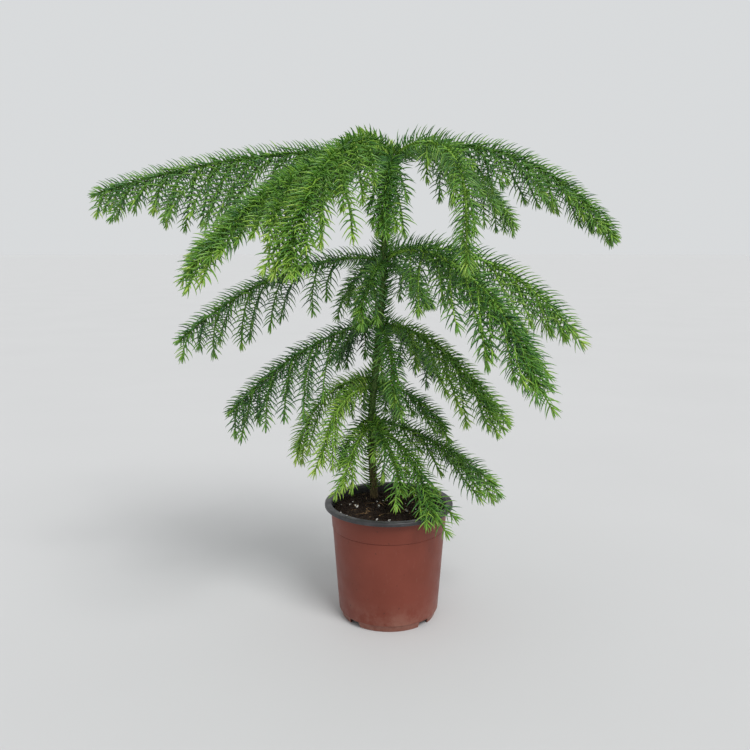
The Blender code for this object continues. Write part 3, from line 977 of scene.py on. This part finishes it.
# ---- pot and potting mix ----
def wall_radius(height):
    """Outer radius of the pot's tapering wall, without its upper band."""
    share = (height - FOOT_HEIGHT) / (POT_HEIGHT - FOOT_HEIGHT)
    return WALL_FOOT_RADIUS + (WALL_TOP_RADIUS - WALL_FOOT_RADIUS) * share


def pot_profile():
    """Half section of the pot as (radius, height, rounding): inside, rim, outside, foot ring and dimple."""
    rim_bottom = POT_HEIGHT - RIM_DROP
    flange_bottom = POT_HEIGHT - RIM_ROUND - WALL
    groove_radius = wall_radius(BAND_HEIGHT) - 0.5 * BAND_GROOVE
    return [
        (0.0, WALL, 0.0),
        (DIMPLE_RADIUS - WALL, WALL, 0.0),
        (DIMPLE_RADIUS, FLOOR_TOP, 0.0),
        (wall_radius(FLOOR_TOP) - WALL, FLOOR_TOP, RIM_ROUND),
        (wall_radius(flange_bottom) - WALL, flange_bottom, EDGE_ROUND),
        (wall_radius(POT_HEIGHT) - WALL + RIM_ROUND, POT_HEIGHT, EDGE_ROUND),
        (RIM_RADIUS, POT_HEIGHT, RIM_ROUND),
        (RIM_RADIUS, rim_bottom, EDGE_ROUND),
        (RIM_RADIUS - WALL, rim_bottom, EDGE_ROUND),
        (RIM_RADIUS - WALL, flange_bottom, 0.0),
        (wall_radius(flange_bottom) + BAND_STEP, flange_bottom, EDGE_ROUND),
        (wall_radius(BAND_HEIGHT) + BAND_STEP, BAND_HEIGHT, LEDGE_ROUND),
        (groove_radius, BAND_HEIGHT - 0.2 * BAND_GROOVE, GROOVE_ROUND),
        (groove_radius, BAND_HEIGHT - 0.8 * BAND_GROOVE, GROOVE_ROUND),
        (wall_radius(BAND_HEIGHT), BAND_HEIGHT - 1.2 * BAND_GROOVE, GROOVE_ROUND),
        (WALL_FOOT_RADIUS, FOOT_HEIGHT, EDGE_ROUND),
        (WALL_FOOT_RADIUS - FOOT_LEDGE, FOOT_HEIGHT, LEDGE_ROUND),
        (FOOT_RADIUS, 0.0, EDGE_ROUND),
        (FOOT_RADIUS - FOOT_WALL, 0.0, EDGE_ROUND),
        (WALL_FOOT_RADIUS - FOOT_LEDGE - FOOT_WALL, FLOOR_BOTTOM, EDGE_ROUND),
        (DIMPLE_RADIUS + WALL, FLOOR_BOTTOM, 0.0),
        (DIMPLE_RADIUS, 0.0, EDGE_ROUND),
        (0.0, 0.0, 0.0),
    ]


def rounded(profile, steps=4):
    """A profile with its corners turned into short curves."""
    points = [profile[0][:2]]
    for before, corner, after in zip(profile, profile[1:], profile[2:]):
        here = Vector(corner[:2])
        if corner[2] == 0.0:
            points.append(tuple(here))
            continue
        first = here + (Vector(before[:2]) - here).normalized() * corner[2]
        last = here + (Vector(after[:2]) - here).normalized() * corner[2]
        for step in range(steps + 1):
            share = step / steps
            points.append(tuple(first.lerp(here, share).lerp(here.lerp(last, share), share)))
    points.append(profile[-1][:2])
    return points


def is_dark(radius, height):
    """Whether a spot of the pot is on its dark inner layer or its rim."""
    if height > POT_HEIGHT - RIM_DROP - WALL and radius > wall_radius(height) + 2.0 * BAND_STEP:
        return True
    if height > POT_HEIGHT - RIM_ROUND - WALL:
        return True
    return radius < wall_radius(height) - 0.5 * WALL and height > 0.5 * (FLOOR_TOP + FLOOR_BOTTOM)


def cut(piece, cutter):
    """Cut a closed mesh away and drop the cutter."""
    modifier = piece.modifiers.new("Cut", "BOOLEAN")
    modifier.operation = "DIFFERENCE"
    modifier.object = cutter
    modifier.solver = "EXACT"
    graph = bpy.context.evaluated_depsgraph_get()
    mesh = bpy.data.meshes.new_from_object(piece.evaluated_get(graph), depsgraph=graph)
    piece.modifiers.clear()
    piece.data = mesh
    bpy.data.objects.remove(cutter)


def frustum(bottom, top, depth, sides, place, angle):
    """A closed frustum to cut with."""
    bpy.ops.mesh.primitive_cone_add(
        vertices=sides, radius1=bottom, radius2=top, depth=depth, location=place, rotation=(0.0, 0.0, angle)
    )
    return bpy.context.object


def build_pot(terracotta, dark):
    """The two-layer plastic pot with its split foot ring and drainage holes."""
    vertices, faces = turned_mesh(rounded(pot_profile()), POT_STEPS)
    index = []
    for face in faces:
        middle = np.mean([vertices[corner] for corner in face], axis=0)
        index.append(int(is_dark(math.hypot(middle[0], middle[1]), middle[2])))
    pot = piece_from("moulded_pot", vertices, faces, [terracotta, dark], index)
    for number in range(NOTCH_COUNT):
        angle = 2.0 * math.pi * (number + 0.5) / NOTCH_COUNT
        place = (FOOT_RADIUS * math.cos(angle), FOOT_RADIUS * math.sin(angle), 0.0)
        root = math.sqrt(2.0)
        turn = angle + math.pi / 4.0
        cut(pot, frustum(NOTCH_WIDTH / root, NOTCH_TOP_WIDTH / root, 2.0 * NOTCH_HEIGHT, 4, place, turn))
    for number in range(DRAIN_COUNT):
        angle = 2.0 * math.pi * (number + 0.5) / DRAIN_COUNT
        place = (DRAIN_RING_RADIUS * math.cos(angle), DRAIN_RING_RADIUS * math.sin(angle), FLOOR_BOTTOM)
        depth = 2.0 * FLOOR_TOP - FLOOR_BOTTOM
        cut(pot, frustum(DRAIN_RADIUS, DRAIN_RADIUS, depth, DRAIN_SIDES, place, angle))
    pot.data.polygons.foreach_set("use_smooth", [True] * len(pot.data.polygons))
    pot.data.set_sharp_from_angle(angle=math.radians(SHARP_ANGLE))
    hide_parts("nursery_pot")


def soil_height(x, y):
    """Height of the potting mix at a place, without its crumbs."""
    radius = math.hypot(x, y)
    share = min(1.0, radius / SOIL_RADIUS)
    lumps = noise.fractal(Vector((x * LUMP_FREQUENCY, y * LUMP_FREQUENCY, 0.3)), 0.8, 2.0, 4)
    return SOIL_HEIGHT + SOIL_MOUND * (1.0 - share * share) + LUMP_HEIGHT * lumps


def build_soil(peat):
    """The plug of potting mix, with a lumpy top."""
    vertices = [(0.0, 0.0, soil_height(0.0, 0.0))]
    for ring in range(1, SOIL_RINGS + 1):
        radius = SOIL_RADIUS * ring / SOIL_RINGS
        for step in range(SOIL_STEPS):
            angle = 2.0 * math.pi * step / SOIL_STEPS
            x, y = radius * math.cos(angle), radius * math.sin(angle)
            vertices.append((x, y, soil_height(x, y)))
    bottom = FLOOR_TOP + GAP
    low_radius = wall_radius(bottom) - WALL - GAP
    for step in range(SOIL_STEPS):
        angle = 2.0 * math.pi * step / SOIL_STEPS
        vertices.append((low_radius * math.cos(angle), low_radius * math.sin(angle), bottom))
    vertices.append((0.0, 0.0, bottom))
    faces = []
    for step in range(SOIL_STEPS):
        after = (step + 1) % SOIL_STEPS
        faces.append((0, 1 + step, 1 + after))
        for ring in range(SOIL_RINGS):
            low = 1 + ring * SOIL_STEPS
            outer = low + SOIL_STEPS
            faces.append((low + step, outer + step, outer + after, low + after))
        last = 1 + SOIL_RINGS * SOIL_STEPS
        faces.append((last + step, len(vertices) - 1, last + after))
    soil = piece_from("peat_plug", vertices, faces, [peat])
    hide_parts("potting_soil")


def lump(template, place, size, rng):
    """A rough grain: a jittered, stretched and turned copy of a template."""
    vertices, faces = template
    stretch = np.array([rng.uniform(*GRAIN_STRETCH) for _ in range(3)])
    turned = Euler([rng.uniform(0.0, 2.0 * math.pi) for _ in range(3)]).to_matrix()
    jitter = np.array([[rng.uniform(*GRAIN_JITTER)] for _ in vertices])
    shaped = (np.array(vertices) * jitter * stretch) @ np.array(turned).T
    return shaped * size + np.array(place), faces


def ball_template(detail):
    """Vertices and faces of a unit ball."""
    shape = bmesh.new()
    bmesh.ops.create_icosphere(shape, subdivisions=detail, radius=1.0)
    vertices = [tuple(vertex.co) for vertex in shape.verts]
    faces = [tuple(vertex.index for vertex in face.verts) for face in shape.faces]
    shape.free()
    return vertices, faces


def on_soil(rng, spread=1.0):
    """A random place on the potting mix, clear of the trunk."""
    while True:
        radius = SOIL_RADIUS * spread * math.sqrt(rng.random()) - SOIL_EDGE
        angle = rng.uniform(0.0, 2.0 * math.pi)
        x, y = radius * math.cos(angle), radius * math.sin(angle)
        if math.hypot(x - TRUNK_ROUTE[1][0], y - TRUNK_ROUTE[1][1]) > TRUNK_KEEP_OUT:
            return x, y, soil_height(x, y)


def build_grains(name, count, sizes, sink, template, material, rng, smooth=False):
    """A layer of separate grains on the potting mix."""
    grains = []
    for _ in range(count):
        x, y, z = on_soil(rng)
        size = rng.uniform(*sizes)
        grains.append(lump(template, (x, y, z + size * sink), size, rng))
    vertices, faces = joined(grains)
    piece = piece_from(name, vertices.tolist(), faces, [material], smooth=smooth)


def build_litter(material, rng):
    """Dry fibres and fallen needles lying on the potting mix."""
    strands = []
    for _ in range(LITTER_COUNT):
        x, y, z = on_soil(rng, LITTER_SPREAD)
        length = rng.uniform(*LITTER_LENGTHS)
        angle = rng.uniform(0.0, 360.0)
        rise = rng.uniform(*LITTER_RISES)
        turn = rng.uniform(*LITTER_TURNS)
        points, _ = grow((x, y, z + LITTER_LIFT), angle, rise, LITTER_DROOP, turn, length, SIDE_STEPS)
        strands.append(twig(points, (rng.uniform(*LITTER_RADII), LITTER_TIP_RADIUS), STRAND_SIDES))
    vertices, faces = joined(strands)
    piece = piece_from("dry_litter", vertices.tolist(), faces, [material])


# ---- stage ----
def build_floor():
    """A pale floor."""
    bpy.ops.mesh.primitive_circle_add(vertices=96, radius=FLOOR_SIZE, fill_type="NGON")
    floor = bpy.context.object
    floor.name = "floor"
    floor.data.materials.append(floor_material())


def build_light():
    """An even pale world and one broad soft light from the front right."""
    world = bpy.data.worlds.new("studio")
    world.use_nodes = True
    world.node_tree.nodes["Background"].inputs["Color"].default_value = (*WORLD_COLOUR, 1.0)
    bpy.context.scene.world = world
    data = bpy.data.lights.new("soft_sun", "SUN")
    data.energy = SUN_STRENGTH
    data.angle = math.radians(SUN_ANGLE)
    lamp = bpy.data.objects.new("soft_sun", data)
    lamp.rotation_euler = (-Vector(SUN_FROM)).to_track_quat("-Z", "Y").to_euler()
    bpy.context.scene.collection.objects.link(lamp)


def build_camera():
    """The camera, in front of the plant and looking a little down on the pot."""
    data = bpy.data.cameras.new("camera")
    data.sensor_width = SENSOR
    data.lens = CAMERA_LENS
    camera = bpy.data.objects.new("camera", data)
    camera.location = CAMERA_PLACE
    camera.rotation_euler = (math.radians(90.0 - CAMERA_PITCH), 0.0, 0.0)
    bpy.context.scene.collection.objects.link(camera)
    bpy.context.scene.camera = camera


def main():
    """Build every piece and the stage."""
    needle = needle_material()
    skin = twig_material("shoot_skin", (0.055, 0.150, 0.018), (0.110, 0.260, 0.028), (0.190, 0.370, 0.050))
    young = twig_material("young_skin", (0.160, 0.330, 0.035), (0.270, 0.480, 0.060), (0.380, 0.580, 0.110))
    build_branches(needle, skin, young)
    build_trunk(needle, bark_material())
    build_pot(terracotta_material(), dark_plastic_material())
    peat = peat_material()
    build_soil(peat)
    rng = random.Random(11)
    build_grains("soil_crumbs", CRUMB_COUNT, CRUMB_SIZES, CRUMB_SINK, ball_template(1), peat, rng)
    white = perlite_material()
    build_grains("perlite", PERLITE_COUNT, PERLITE_SIZES, PERLITE_SINK, ball_template(2), white, rng)
    build_litter(litter_material(), rng)
    build_floor()
    build_light()
    build_camera()
    bpy.context.scene.view_settings.view_transform = "Standard"


main()
